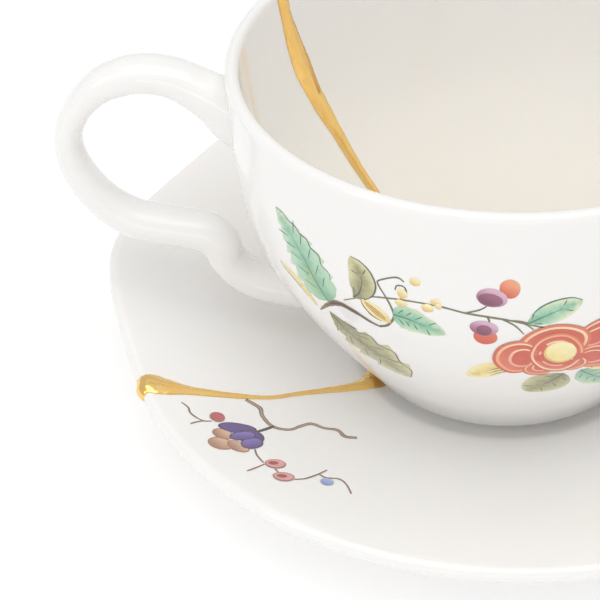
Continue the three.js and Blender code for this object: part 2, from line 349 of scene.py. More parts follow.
# Extrudes a circle from ring to ring and closes both ends
def loftMesh(rings, mesh=None):
    mesh = mesh or bmesh.new()
    sides = len(rings[0])
    made = bmesh.ops.create_circle(mesh, cap_ends=False, radius=1, segments=sides)["verts"]
    loop = sorted(made, key=lambda vert: math.atan2(vert.co.y, vert.co.x) % (2 * math.pi))
    for vert, place in zip(loop, rings[0]):
        vert.co = place
    caps = [loop]
    for ring in rings[1:]:
        edges = [mesh.edges.get((loop[i], loop[i - 1])) for i in range(sides)]
        made = bmesh.ops.extrude_edge_only(mesh, edges=edges)["geom"]
        fresh = {item for item in made if isinstance(item, bmesh.types.BMVert)}
        following = [
            next(edge.other_vert(vert) for edge in vert.link_edges if edge.other_vert(vert) in fresh)
            for vert in loop
        ]
        for vert, place in zip(following, ring):
            vert.co = place
        loop = following
    caps.append(loop)
    faces = [mesh.faces.new(cap) for cap in caps]
    bmesh.ops.recalc_face_normals(mesh, faces=mesh.faces)
    bmesh.ops.poke(mesh, faces=faces)
    return mesh


# Handle

handleValues = {
    "reach": 34.4,
    "height": 55.0,
    "topGap": 3.7,
    "width": 8.6,
    "thickness": 7.0,
    "sink": 1.3,
    "sides": 40,
    "rings": 150,
    # out and up as shares of reach and height, then width and thickness as shares
    "path": (
        (-0.19, 0.775, 1.35, 2.3), (0, 0.845, 1.25, 1.8), (0.11, 0.895, 1.1, 1.35),
        (0.2, 0.935, 1.05, 1.15), (0.33, 0.982, 1, 1.02), (0.475, 1, 1, 0.98), (0.6, 0.99, 0.97, 0.95),
        (0.73, 0.956, 0.94, 0.88), (0.85, 0.885, 0.9, 0.78), (0.925, 0.8, 0.88, 0.75),
        (0.948, 0.72, 0.88, 0.76), (0.925, 0.63, 0.9, 0.83), (0.85, 0.53, 0.94, 0.9),
        (0.75, 0.455, 0.97, 0.96), (0.63, 0.402, 1, 1.05), (0.487, 0.377, 1, 1.07),
        (0.345, 0.359, 1, 1.08), (0.225, 0.337, 1.02, 1.16), (0.156, 0.287, 1.04, 1.12),
        (0.122, 0.22, 1.04, 1), (0.045, 0.157, 1.05, 0.97), (-0.05, 0.12, 1.06, 1),
        (-0.162, 0.1, 1.08, 1.05), (-0.28, 0.09, 1.15, 1.15), (-0.6, 0.08, 1.4, 1.5),
    ),
    # how square the section is: 1 is an oval, less is squarer
    "section": 0.9,
}


def handleRings():
    v = handleValues
    top = cupBottom + cupHeight - v["topGap"]
    spots = [
        Vector((v["sink"] - rimRadius - v["reach"] * out, top - v["height"] * (1 - up), width, thick))
        for out, up, width, thick in v["path"]
    ]
    rings = []
    for i in range(v["rings"] + 1):
        share = i / v["rings"]
        spot = splinePoint(spots, share)
        slope = splineSlope([spot.xy for spot in spots], share)
        centre = Vector((spot.x, 0, spot.y))
        outward = Vector((-slope.y, 0, slope.x))
        ring = []
        for k in range(v["sides"]):
            turn = 2 * math.pi * k / v["sides"]
            across = math.copysign(abs(math.cos(turn)) ** v["section"], math.cos(turn))
            upward = math.copysign(abs(math.sin(turn)) ** v["section"], math.sin(turn))
            place = centre + Vector((0, 1, 0)) * across * v["width"] / 2 * spot.z
            place += outward * upward * v["thickness"] / 2 * spot.w
            ring.append(keepInWall(place))
        rings.append(ring)
    return rings


# Holds the roots of the handle within the wall, so that they don't show inside the bowl
def keepInWall(place):
    radius = math.hypot(place.x, place.y)
    height = min(max(place.z, wallRadii[0][0]), wallRadii[-1][0])
    middle = outerRadiusAt(height) - cupValues["wall"] / 2
    if radius >= middle:
        return place
    return Vector((place.x * middle / radius, place.y * middle / radius, place.z))


# Gold seams: spots listed along each crack, laid onto the outline of the piece beneath

cupSeamValues = {
    "ringStep": 0.55,
    "sides": 36,
    # where two strands of gold meet on the left inside: heights, places across the seam, depth
    "foldFrom": 68.0,
    "foldTo": 46.5,
    "foldStart": 0.15,
    "foldEnd": 0.68,
    "foldDepth": 0.2,
    "foldSpread": 0.28,
    "foldFadeIn": 0.35,
    "foldFadeOut": 1.08,
    # turn and height of the spots along the fold where painted shade darkens the gold, down to a small
    # hollow
    "foldShadeSpots": ((147.2, 65.0), (145.0, 60.5), (143.9, 56.0), (142.8, 52.0), (141.8, 46.6)),
    "foldShadeCore": 0.3,
    "foldShadeReach": 1.2,
    "halfHeight": 0.62,
    "lift": 0.12,
    "roughness": 0.06,
    "lipHalfWidth": 2.0,
    "overFloor": 1.0,
    # turn, share of the wall's height and half width, from the outer foot up, over the lip and inside
    "outsideLeft": (
        (151, 0.1, 0.8), (150, 0.24, 1.3), (152, 0.38, 1.5), (153.5, 0.52, 1.9), (152, 0.66, 2.1),
        (152.5, 0.8, 1.8), (152, 0.93, 1.9),
    ),
    "lipLeft": 150.3,
    "insideLeft": (
        (149.6, 0.92, 1.6), (147.3, 0.8, 2.35), (144.7, 0.69, 2.45), (142.4, 0.6, 1.9),
        (140.4, 0.52, 1.7), (139.1, 0.46, 1.4), (137.6, 0.37, 1.15), (135.0, 0.26, 1.0),
        (131, 0.16, 1.0), (126, 0.09, 1.0),
    ),
    "onFloor": ((22, 119, 1.5), (10, 96, 1.3), (10, 345, 1.6), (22, 322, 1.2)),
    "insideRight": (
        (318, 0.09, 1.2), (319, 0.16, 1.4), (321, 0.26, 1.7), (322.5, 0.38, 1.3), (324, 0.52, 1.6),
        (322.5, 0.66, 2.0), (321, 0.8, 1.6), (321.6, 0.92, 1.9),
    ),
    "lipRight": 322.0,
    "outsideRight": (
        (321.6, 0.93, 1.9), (321, 0.8, 1.6), (322.5, 0.66, 1.9), (324, 0.52, 1.5), (322.5, 0.38, 1.5),
        (321, 0.24, 1.2), (322, 0.1, 0.8),
    ),
}

saucerSeamValues = {
    "ringStep": 0.5,
    "sides": 18,
    "halfHeight": 0.62,
    "lift": 0.1,
    "roughness": 0.05,
    # under the cup the line is sunk in the well, and it rises to its lift over this width
    "sunk": -1.2,
    "riseWidth": 2.0,
    "dishStart": 0.34,
    # share of the radius, turn and half width, across the dish from the left rim to the right rim
    "across": (
        (0.985, 201.9, 2.7), (0.966, 202.2, 3.1), (0.945, 202.7, 2.6), (0.9, 203.6, 1.6),
        (0.86, 204.3, 1.2), (0.79, 205.4, 0.9), (0.72, 206.6, 0.6), (0.67, 207.1, 0.52),
        (0.6, 206.8, 0.6), (0.53, 207.1, 0.85), (0.47, 207.9, 1.1), (0.42, 208.6, 1.7),
        (0.385, 207.4, 2.4), (0.35, 205.6, 2.6), (0.2, 216, 1.5), (0.13, 262, 1.4), (0.24, 322, 1.6),
        (0.42, 338, 1.8), (0.6, 341, 1.2), (0.8, 344.5, 1.4), (0.95, 345.8, 2.2), (0.975, 346, 1.2),
    ),
    # share of the radius, share of the rim's height and half width, under the dish
    "beneath": (
        (1.0, 0.86, 2.0), (0.975, 0.7, 1.1), (0.86, 0.44, 0.8), (0.72, 0.26, 0.8), (0.56, 0.13, 0.6),
    ),
}

# How both lines swell, lean and lie rough, and how far from an end they begin to narrow
goldFlow = {
    "taper": 2.2,
    "slow": 0.23,
    "slowSwell": 0.12,
    "heightSwell": 0.2,
    "quick": 0.9,
    "quickSwell": 0.05,
    "leanPace": 0.15,
    "lean": 0.3,
    "crest": 0.6,
    "lumps": 0.75,
    "edgeLumps": 1.3,
}


def widened(point, halfWidth):
    return Vector((point.x, point.y, point.z, halfWidth))


def cupSeamSpots():
    v = cupSeamValues
    offWall = 0.5

    def strand(spots, inner):
        out = []
        for turn, share, halfWidth in spots:
            height = bodyBottom + (lipCentre.y - bodyBottom) * share
            shift = cupValues["wall"] * (-1 - offWall if inner else offWall)
            out.append(widened(pointAt(outerRadiusAt(height) + shift, turn, height), halfWidth))
        return out

    def lip(turn):
        return [
            widened(pointAt(spot.x, turn, spot.y), v["lipHalfWidth"])
            for spot in arcPoints(lipCentre, lipRadius, 0, 180, 4)
        ]

    floor = [
        widened(pointAt(radius, turn, floorHeight + v["overFloor"]), halfWidth)
        for radius, turn, halfWidth in v["onFloor"]
    ]
    return [
        *strand(v["outsideLeft"], False), *lip(v["lipLeft"]), *strand(v["insideLeft"], True), *floor,
        *strand(v["insideRight"], True), *reversed(lip(v["lipRight"])), *strand(v["outsideRight"], False),
    ]


def saucerSeamSpots():
    v, s = saucerSeamValues, saucerValues
    rise = s["rimHeight"] - s["wellHeight"]
    start = v["dishStart"]

    def onTop(share, turn, halfWidth):
        height = s["wellHeight"] + rise * max(0, share - start) / (1 - start)
        return widened(pointAt(s["radius"] * share, turn, height), halfWidth)

    def under(turn, widest):
        return [
            widened(pointAt(s["radius"] * share, turn, s["rimHeight"] * height), min(halfWidth, widest))
            for share, height, halfWidth in v["beneath"]
        ]

    across = [onTop(*spot) for spot in v["across"]]
    ends = [under(turn, halfWidth) for _, turn, halfWidth in (v["across"][0], v["across"][-1])]
    return [*reversed(ends[0]), *across, *ends[1]]


# The nearest spot on a turned outline, and the direction that leads out of its surface there
def layOnProfile(point, profile):
    flat = Vector((math.hypot(point.x, point.y), point.z))
    best = None
    for start, end in zip(profile, profile[1:]):
        along = end - start
        share = min(max((flat - start).dot(along) / along.length_squared, 0), 1)
        foot = start + along * share
        distance = (foot - flat).length
        if best is None or distance < best[0]:
            best = (distance, foot, along.normalized())
    foot, along = best[1], best[2]
    around = Vector((point.x, point.y, 0)) / flat.x
    normal = around * along.y - Vector((0, 0, along.x))
    return around * foot.x + Vector((0, 0, foot.y)), normal


def foldDepth(point, across, values):
    if "foldFrom" not in values or point.x > 0 or point.y < 0:
        return 0
    if math.hypot(point.x, point.y) > outerRadiusAt(point.z) - cupValues["wall"] / 2:
        return 0
    share = (values["foldFrom"] - point.z) / (values["foldFrom"] - values["foldTo"])
    fadeOut = values["foldFadeOut"]
    if share < 0 or share > fadeOut:
        return 0
    middle = values["foldStart"] + (values["foldEnd"] - values["foldStart"]) * share
    strength = smoothStep(share, 0, values["foldFadeIn"]) * (1 - smoothStep(share, 1, fadeOut))
    strength *= 0.45 + 0.55 * share ** 6
    return values["foldDepth"] * strength * math.exp(-((across - middle) / values["foldSpread"]) ** 2)


# Even rings of gold along the spots, thicker along their crest and narrowed at both ends
def seamRings(spots, profile, values, liftAt, warp=lambda point: point):
    flow = goldFlow
    length = sum((b.xyz - a.xyz).length for a, b in zip(spots, spots[1:]))
    close = splinePoints(spots, int(length / values["ringStep"] * 3))
    even = [close[0]]
    for spot in close:
        if (spot.xyz - even[-1].xyz).length >= values["ringStep"]:
            even.append(spot)
    laid = [layOnProfile(spot.xyz, profile) for spot in even]
    rings = []
    count = len(even) - 1
    for i, spot in enumerate(even):
        near = laid[max(i - 3, 0):i + 4]
        normal = sum((item[1] for item in near), Vector((0, 0, 0)))
        tangent = (laid[min(i + 1, count)][0] - laid[max(i - 1, 0)][0]).normalized()
        normal = (normal - tangent * normal.dot(tangent)).normalized()
        side = normal.cross(tangent)
        point = laid[i][0]
        end = min(i, count - i) * values["ringStep"]
        taper = math.sqrt(min(1, (end + 0.05) / flow["taper"]))
        slow = noise.noise(point * flow["slow"])
        quick = noise.noise(point * flow["quick"])
        halfWidth = spot.w * taper * (1 + flow["slowSwell"] * slow + flow["quickSwell"] * quick)
        halfHeight = values["halfHeight"] * taper * (0.35 + 0.3 * spot.w)
        halfHeight *= 1 + flow["heightSwell"] * slow
        centre = point + normal * liftAt(point)
        lean = flow["lean"] * noise.noise(point * flow["leanPace"] + Vector((7, 3, 1)))
        ring = []
        for k in range(values["sides"]):
            turn = 2 * math.pi * k / values["sides"]
            across, up = math.cos(turn), math.sin(turn)
            place = centre + side * across * halfWidth
            crest = (1 - abs(across - lean)) * flow["crest"]
            place += normal * up * halfHeight * (flow["crest"] + crest)
            if up > 0:
                place -= normal * foldDepth(point, across, values)
            rough = values["roughness"] * taper
            place += normal * rough * noise.noise(place * flow["lumps"])
            place += side * rough * noise.noise(place * flow["edgeLumps"] + Vector((5, 5, 5)))
            ring.append(warp(place))
        rings.append(ring)
    return rings


# Painting: flat shapes on a canvas of millimetres, cut into cells and laid on the glaze

def shade(red, green, blue):
    return Vector([
        (value / 255 / 12.92) if value < 11 else ((value / 255 + 0.055) / 1.055) ** 2.4
        for value in (red, green, blue)
    ])


colours = {
    "teal": shade(112, 176, 144), "tealMid": shade(166, 208, 178), "lime": shade(222, 228, 190),
    "tealLine": shade(58, 108, 84), "olive": shade(128, 126, 84), "oliveMid": shade(174, 171, 122),
    "olivePale": shade(208, 205, 156), "oliveLine": shade(74, 72, 50), "ink": shade(58, 46, 38),
    "inkPale": shade(150, 130, 100), "stem": shade(100, 98, 68), "plum": shade(108, 46, 78),
    "mauve": shade(152, 78, 112), "mauvePale": shade(214, 176, 198), "flame": shade(208, 78, 54),
    "orange": shade(220, 108, 76), "orangePale": shade(238, 160, 112), "coral": shade(204, 80, 62),
    "coralPale": shade(220, 108, 82), "cream": shade(247, 214, 172), "blush": shade(236, 170, 142),
    "yellow": shade(240, 222, 146), "yellowPale": shade(248, 238, 184), "ochre": shade(224, 186, 116),
    "sepia": shade(168, 106, 66), "violet": shade(94, 70, 136), "violetDark": shade(70, 48, 96),
    "violetPale": shade(126, 108, 178), "tan": shade(212, 178, 150), "tanDark": shade(166, 122, 102),
    "bark": shade(134, 100, 80), "barkDark": shade(86, 62, 50), "barkPale": shade(186, 158, 132),
    "rose": shade(218, 154, 150), "roseDark": shade(156, 68, 68), "dustyRed": shade(182, 90, 90),
    "blue": shade(130, 150, 204), "bluePale": shade(164, 182, 222),
}

paintValues = {
    "lift": 0.02,
    "layer": 0.0024,
    "frontLayer": 4,
    "cell": 0.8,
    "strokeStep": 0.4,
    "cupTurn": 255.0,
    "backTurn": 88.0,
}


def newPainting(place):
    mesh = bmesh.new()
    colour = mesh.verts.layers.float_color.new("paint")
    return {"mesh": mesh, "colour": colour, "place": place, "layer": 0}


def addToPainting(painting, part, colourOf):
    target = painting["mesh"]
    height = paintValues["lift"] + paintValues["layer"] * painting["layer"]
    painting["layer"] += 1
    copies = {}
    for vert in part.verts:
        fresh = target.verts.new(painting["place"](vert.co.x, vert.co.y, height))
        fresh[painting["colour"]] = (*colourOf(vert.co.x, vert.co.y), 1)
        copies[vert] = fresh
    for face in part.faces:
        target.faces.new([copies[vert] for vert in face.verts])
    part.free()


# Cuts a flat shape into small cells, so that it follows the curve of the glaze
def paintShape(painting, outline, colourOf):
    cell = paintValues["cell"]
    part = bmesh.new()
    verts = [part.verts.new((spot[0], spot[1], 0)) for spot in outline]
    part.faces.new(verts)
    bmesh.ops.triangulate(part, faces=part.faces)
    for axisIndex in (0, 1):
        values = [spot[axisIndex] for spot in outline]
        cut = math.floor(min(values) / cell) + 1
        while cut * cell < max(values):
            direction = Vector((0, 0, 0))
            direction[axisIndex] = 1
            bmesh.ops.bisect_plane(
                part, geom=part.verts[:] + part.edges[:] + part.faces[:],
                plane_co=direction * cut * cell, plane_no=direction,
            )
            cut += 1
    bmesh.ops.remove_doubles(part, verts=part.verts, dist=1e-4)
    if sum(face.normal.z * face.calc_area() for face in part.faces) < 0:
        bmesh.ops.reverse_faces(part, faces=part.faces)
    addToPainting(painting, part, colourOf)


def paintStroke(painting, spots, widths, ink, edge=None):
    spots = [Vector(spot) for spot in spots]
    length = sum((b - a).length for a, b in zip(spots, spots[1:]))
    count = max(4, int(length / paintValues["strokeStep"]))
    middle = splinePoints(spots, count)
    part = bmesh.new()
    rows = []
    rims = set()
    for i, spot in enumerate(middle):
        slope = (middle[min(i + 1, count)] - middle[max(i - 1, 0)]).normalized()
        index = i / count * (len(widths) - 1)
        low = min(int(index), len(widths) - 2)
        width = widths[low] + (widths[low + 1] - widths[low]) * (index - low)
        width *= 1 + 0.2 * noise.noise(Vector((spot.x, spot.y, 0)) * 1.1)
        side = Vector((-slope.y, slope.x)) * width / 2
        row = [part.verts.new((*(spot + side * sign), 0)) for sign in (1, 0, -1)]
        rims.update((round(vert.co.x, 4), round(vert.co.y, 4)) for vert in (row[0], row[2]))
        rows.append(row)
    for start, end in zip(rows, rows[1:]):
        part.faces.new([start[0], start[1], end[1], end[0]])
        part.faces.new([start[1], start[2], end[2], end[1]])

    def colourOf(x, y):
        onRim = (round(x, 4), round(y, 4)) in rims
        return brushed(colours[edge if edge and onRim else ink], x, y, 0.2)

    addToPainting(painting, part, colourOf)


def brushed(colour, x, y, amount=0.1, scale=0.7):
    return colour * (1.07 + amount * noise.noise(Vector((x, y, 3)) * scale))


tealLeaf = {"deep": "teal", "mid": "tealMid", "edge": "lime", "line": "tealLine"}
oliveLeaf = {"deep": "olive", "mid": "oliveMid", "edge": "olivePale", "line": "oliveLine"}
yellowLeaf = {"deep": "ochre", "mid": "yellow", "edge": "yellowPale", "line": "oliveLine"}


def paintLeaf(painting, spots, width, tint, teeth=0, bite=0.25, widest=0.45, veins=4, outlined=0):
    spots = [Vector(spot) for spot in spots]
    length = sum((b - a).length for a, b in zip(spots, spots[1:]))
    rows = max(24, teeth * 6)
    power = math.log(0.5) / math.log(widest)
    edges = {1: [], -1: []}
    for side in (1, -1):
        for i in range(1, rows):
            share = i / rows
            slope = splineSlope(spots, share)
            swell = math.sin(math.pi * share ** power) ** 0.8
            notch = 1 - bite * ((share * teeth) % 1) * min(1, share * 3) if teeth else 1
            out = Vector((-slope.y, slope.x)) * side * width / 2 * swell * notch
            edges[side].append(splinePoint(spots, share) + out)
    outline = [spots[0], *edges[1], spots[-1], *reversed(edges[-1])]
    steps = 24
    samples = splinePoints(spots, steps)

    def colourOf(x, y):
        here = Vector((x, y))
        near = min(range(steps + 1), key=lambda i: (samples[i] - here).length)
        off = (samples[near] - here).length / (width / 2)
        share = near / steps
        streak = noise.noise(Vector((x * 1.6, y * 1.6, width)))
        inner = smoothStep(off + 0.35 * streak + 0.3 * share, 0.05, 0.75)
        outer = smoothStep(off + 0.2 * streak + 1.1 * share ** 3, 0.7, 1.3)
        body = colours[tint["deep"]].lerp(colours[tint["mid"]], inner)
        return brushed(body.lerp(colours[tint["edge"]], outer), x, y)

    paintShape(painting, outline, colourOf)
    if outlined:
        edge = edges[1] if outlined > 0 else edges[-1]
        paintStroke(painting, edge[len(edge) // 4::3] + [spots[-1]], (0.1, 0.36, 0.3, 0.12), tint["line"])
    if not veins:
        return
    middle = splinePoints(spots, 10)
    paintStroke(painting, middle[:8], (0.3, 0.26, 0.08), tint["line"])
    for i in range(veins):
        share = 0.2 + 0.52 * i / max(1, veins - 1)
        slope = splineSlope(spots, share)
        for side in (1, -1):
            out = Vector((-slope.y, slope.x)) * side
            start = splinePoint(spots, share) + out * width * 0.1
            end = start + out * width * 0.2 + slope * length * 0.1
            turn = (start + end) / 2 + slope * length * 0.015 + out * width * 0.03
            paintStroke(painting, [start, turn, end], (0.1, 0.24, 0.06), tint["line"])


def ovalSpots(centre, across, up, turn, wobble):
    tilt = Matrix.Rotation(math.radians(turn), 2)
    corners = 32
    out = []
    for i in range(corners):
        angle = 2 * math.pi * i / corners
        rough = noise.noise(Vector((math.cos(angle) * 1.3, math.sin(angle) * 1.3, centre[0])))
        swell = 1 + wobble * rough
        spot = Vector((across * swell * math.cos(angle), up * swell * math.sin(angle)))
        out.append(Vector(centre) + tilt @ spot)
    return out


def paintOval(painting, centre, across, up, turn, low, high, wobble=0.05):
    tilt = Matrix.Rotation(math.radians(-turn), 2)

    def colourOf(x, y):
        local = tilt @ (Vector((x, y)) - Vector(centre))
        share = 0.5 + 0.45 * local.y / up + 0.25 * local.x / across
        return brushed(colours[low].lerp(colours[high], smoothStep(share, 0, 1)), x, y)

    paintShape(painting, ovalSpots(centre, across, up, turn, wobble), colourOf)


def paintBands(painting, centre, across, up, turn, bands, drift=(0, 0)):
    for k, (scale, low, high) in enumerate(bands):
        middle = Vector(centre) + Vector(drift) * (1 - scale)
        paintOval(painting, middle, across * scale, up * scale, turn, low, high, 0.07)


def paintBerry(painting, centre, across, up, turn):
    paintOval(painting, centre, across, up, turn, "mauve", "mauvePale")
    low = Vector(centre) - Vector((0.1, 0.2)) * up
    paintOval(painting, low, across * 0.8, up * 0.66, turn, "plum", "mauve")


# A flower of banded petals, all as shares of its size: each band's scale and its two colours,
# each petal's place across and up, its width, its height and its turn in degrees
flowerValues = {
    "petalBands": (
        (1, "coral", "orange"), (0.9, "orangePale", "cream"), (0.81, "coralPale", "coral"),
        (0.56, "blush", "cream"), (0.47, "coral", "flame"),
    ),
    "petals": (
        (0.66, 0.34, 0.52, 0.33, 32), (0.60, -0.28, 0.42, 0.34, -22), (-0.10, 0.24, 0.60, 0.42, 12),
        (-0.68, -0.12, 0.37, 0.47, -14), (-0.36, -0.46, 0.25, 0.21, 10), (0.17, -0.36, 0.28, 0.22, -8),
    ),
    "petalDrift": 0.25,
    "heartBands": (
        (1, "coral", "orange"), (0.92, "cream", "orangePale"), (0.84, "coralPale", "coral"),
        (0.72, "flame", "coralPale"), (0.66, "blush", "cream"), (0.58, "coral", "coralPale"),
    ),
    "budTurns": (-70, -30, 150, 200),
}


def paintFlower(painting, centre, size):
    centre = Vector(centre)
    for across, up, width, height, turn in flowerValues["petals"]:
        spot = centre + Vector((across, up)) * size
        drift = (centre - spot) * flowerValues["petalDrift"]
        paintBands(painting, spot, width * size, height * size, turn, flowerValues["petalBands"], drift)
    heart = centre - Vector((0.05, 0.04)) * size
    paintBands(painting, heart, size * 0.44, size * 0.53, 0, flowerValues["heartBands"])
    for degrees in flowerValues["budTurns"]:
        out = Vector((math.cos(math.radians(degrees)), math.sin(math.radians(degrees))))
        spot = centre + out * size * 0.33
        paintOval(painting, spot, size * 0.09, size * 0.1, degrees, "coral", "flame")
    paintOval(painting, centre, size * 0.26, size * 0.285, 0, "ochre", "yellow")
    middle = centre + Vector((0.01, 0.02)) * size
    paintOval(painting, middle, size * 0.235, size * 0.26, 0, "yellow", "yellowPale")


def paintLeaves(painting, leaves, layer=None):
    for spots, width, tint, form in leaves:
        painting["layer"] = painting["layer"] if layer is None else layer
        paintLeaf(painting, spots, width, tint, **form)


def paintBud(painting, bud):
    paintLeaf(painting, bud["spots"], bud["width"], yellowLeaf, veins=0, **bud["form"])
    for shift in bud["shifts"]:
        stripe = [(x, y + shift * share) for (x, y), share in zip(bud["stripe"], bud["shares"])]
        paintStroke(painting, stripe, bud["widths"], bud["ink"])


def paintSmallSpray(painting, spray):
    painting["layer"] = 0
    paintStroke(painting, *spray["stem"], "stem", "olive")
    paintLeaves(painting, spray["leaves"])
    paintOval(painting, *spray["bud"], 0, "flame", "orangePale")
    paintBerry(painting, *spray["berry"])


# Materials

# The variation that glaze, enamel and gold share
glazeVariation = {
    "detail": 3,
    "fineScale": 420,
    "fineDetail": 2,
    "roughnessSpread": 0.06,
    "bumpDistance": 0.0002,
}

porcelainValues = {
    "colour": (0.955, 0.944, 0.926, 1),
    # painted shade: a darker, warmer glaze colour towards the floor of the bowl
    "bowlShadeColour": (0.945, 0.912, 0.855, 1),
    "glaze": {
        "Tint": (0.93, 0.905, 0.865, 1), "Amount": 0.2, "Roughness": 0.08, "Waviness": 0.08,
        "Fineness": 28,
    },
    "shader": {
        "Subsurface Weight": 0.15, "Subsurface Radius": (0.004, 0.003, 0.002),
        "Coat Weight": 0.3, "Coat Roughness": 0.04,
    },
}

enamelValues = {
    "glaze": {
        "Tint": (0.9, 0.87, 0.82, 1), "Amount": 0.12, "Roughness": 0.14, "Waviness": 0.05,
        "Fineness": 28,
    },
    "shader": {"Coat Weight": 0.3, "Coat Roughness": 0.05},
}

goldValues = {
    "colour": (1.0, 0.72, 0.29, 1),
    # the colour of the painted shade in the fold of the gold
    "foldShadeColour": (0.5, 0.2, 0.015, 1),
    "glaze": {
        "Tint": (0.93, 0.5, 0.09, 1), "Amount": 0.6, "Roughness": 0.12, "Waviness": 0.7,
        "Fineness": 240,
    },
    "shader": {"Metallic": 1},
}


def makeGlazeGroup():
    v = glazeVariation
    group = bpy.data.node_groups.new("glazeVariation", "ShaderNodeTree")
    for label, kind in (
        ("Colour", "Color"), ("Tint", "Color"), ("Amount", "Float"), ("Roughness", "Float"),
        ("Waviness", "Float"), ("Fineness", "Float"),
    ):
        group.interface.new_socket(name=label, in_out="INPUT", socket_type="NodeSocket" + kind)
    for label, kind in (("Colour", "Color"), ("Roughness", "Float"), ("Normal", "Vector")):
        group.interface.new_socket(name=label, in_out="OUTPUT", socket_type="NodeSocket" + kind)
    nodes, links = group.nodes, group.links
    start, end = nodes.new("NodeGroupInput"), nodes.new("NodeGroupOutput")
    coordinates = nodes.new("ShaderNodeTexCoord")
    broad = nodes.new("ShaderNodeTexNoise")
    broad.inputs["Detail"].default_value = v["detail"]
    fine = nodes.new("ShaderNodeTexNoise")
    fine.inputs["Scale"].default_value = v["fineScale"]
    fine.inputs["Detail"].default_value = v["fineDetail"]
    share = nodes.new("ShaderNodeMath")
    share.operation = "MULTIPLY"
    mix = nodes.new("ShaderNodeMix")
    mix.data_type = "RGBA"
    rough = nodes.new("ShaderNodeMath")
    rough.operation = "MULTIPLY_ADD"
    rough.inputs[1].default_value = v["roughnessSpread"]
    bump = nodes.new("ShaderNodeBump")
    bump.inputs["Distance"].default_value = v["bumpDistance"]
    for source, sink in (
        (coordinates.outputs["Object"], broad.inputs["Vector"]),
        (coordinates.outputs["Object"], fine.inputs["Vector"]),
        (start.outputs["Fineness"], broad.inputs["Scale"]),
        (broad.outputs["Fac"], share.inputs[0]),
        (start.outputs["Amount"], share.inputs[1]),
        (share.outputs[0], mix.inputs["Factor"]),
        (start.outputs["Colour"], mix.inputs["A"]),
        (start.outputs["Tint"], mix.inputs["B"]),
        (fine.outputs["Fac"], rough.inputs[0]),
        (start.outputs["Roughness"], rough.inputs[2]),
        (start.outputs["Waviness"], bump.inputs["Strength"]),
        (broad.outputs["Fac"], bump.inputs["Height"]),
        (mix.outputs["Result"], end.inputs["Colour"]),
        (rough.outputs[0], end.inputs["Roughness"]),
        (bump.outputs["Normal"], end.inputs["Normal"]),
    ):
        links.new(source, sink)
    return group


def newMaterial(name, settings):
    material = bpy.data.materials.new(name)
    material.use_nodes = True
    nodes = material.node_tree.nodes
    shader = nodes["Principled BSDF"]
    for label, value in settings.items():
        shader.inputs[label].default_value = value
    return material, nodes, material.node_tree.links, shader


def placeGlaze(nodes, links, shader, group, values):
    glaze = nodes.new("ShaderNodeGroup")
    glaze.node_tree = group
    for label, value in values.items():
        glaze.inputs[label].default_value = value
    for output, sink in (("Colour", "Base Color"), ("Roughness", "Roughness"), ("Normal", "Normal")):
        links.new(glaze.outputs[output], shader.inputs[sink])
    return glaze


def newAttribute(nodes, name):
    attribute = nodes.new("ShaderNodeAttribute")
    attribute.attribute_name = name
    return attribute


def fadeColours(nodes, links, glaze, name, colour, otherColour):
    mix = nodes.new("ShaderNodeMix")
    mix.data_type = "RGBA"
    mix.inputs["A"].default_value = colour
    mix.inputs["B"].default_value = otherColour
    links.new(newAttribute(nodes, name).outputs["Fac"], mix.inputs["Factor"])
    links.new(mix.outputs["Result"], glaze.inputs["Colour"])


def makePorcelain(group):
    v = porcelainValues
    material, nodes, links, shader = newMaterial("porcelain_glaze", v["shader"])
    glaze = placeGlaze(nodes, links, shader, group, v["glaze"])
    # mixes in the painted shade towards the floor of the bowl
    fadeColours(nodes, links, glaze, "bowl_shade", v["colour"], v["bowlShadeColour"])
    return material


def makeEnamel(group):
    v = enamelValues
    material, nodes, links, shader = newMaterial("painted_enamel", v["shader"])
    glaze = placeGlaze(nodes, links, shader, group, v["glaze"])
    links.new(newAttribute(nodes, "paint").outputs["Color"], glaze.inputs["Colour"])
    return material


def makeGold(group):
    v = goldValues
    material, nodes, links, shader = newMaterial("kintsugi_gold", v["shader"])
    glaze = placeGlaze(nodes, links, shader, group, v["glaze"])
    # mixes in the painted shade along the fold and at its hollow
    fadeColours(nodes, links, glaze, "fold_shade", v["colour"], v["foldShadeColour"])
    return material


glazeGroup = makeGlazeGroup()
porcelain = makePorcelain(glazeGroup)
enamel = makeEnamel(glazeGroup)
gold = makeGold(glazeGroup)
print("stage: materials")


# Cup, saucer and seams

cupOutline = cupProfile()
saucerOutline = saucerProfile()


# Painted shade: the glaze is coloured darker and warmer towards the floor of the cup, where the bowl lies
# in shade
def markBowlShade(mesh):
    v = cupValues
    bowl_shade = mesh.verts.layers.float.new("bowl_shade")
    for vert in mesh.verts:
        height = vert.co.z - floorHeight
        inside = math.hypot(vert.co.x, vert.co.y) < outerRadiusAt(vert.co.z) - v["wall"] / 2
        if height > -v["bowlShadeStart"] and inside:
            vert[bowl_shade] = 1 - smoothStep(height, v["bowlShadeFull"], cupHeight * v["bowlShadeEnd"])


cupMesh = turnedMesh(cupOutline, cupValues["turns"])
markBowlShade(cupMesh)
loftMesh(handleRings(), cupMesh)
finishPiece("cup_porcelain", cupMesh, porcelain, "cup")

saucerMesh = turnedMesh(saucerOutline, saucerValues["turns"])
for vert in saucerMesh.verts:
    vert.co = warpToSherd(vert.co.copy())
finishPiece("saucer_porcelain", saucerMesh, porcelain, "saucer")


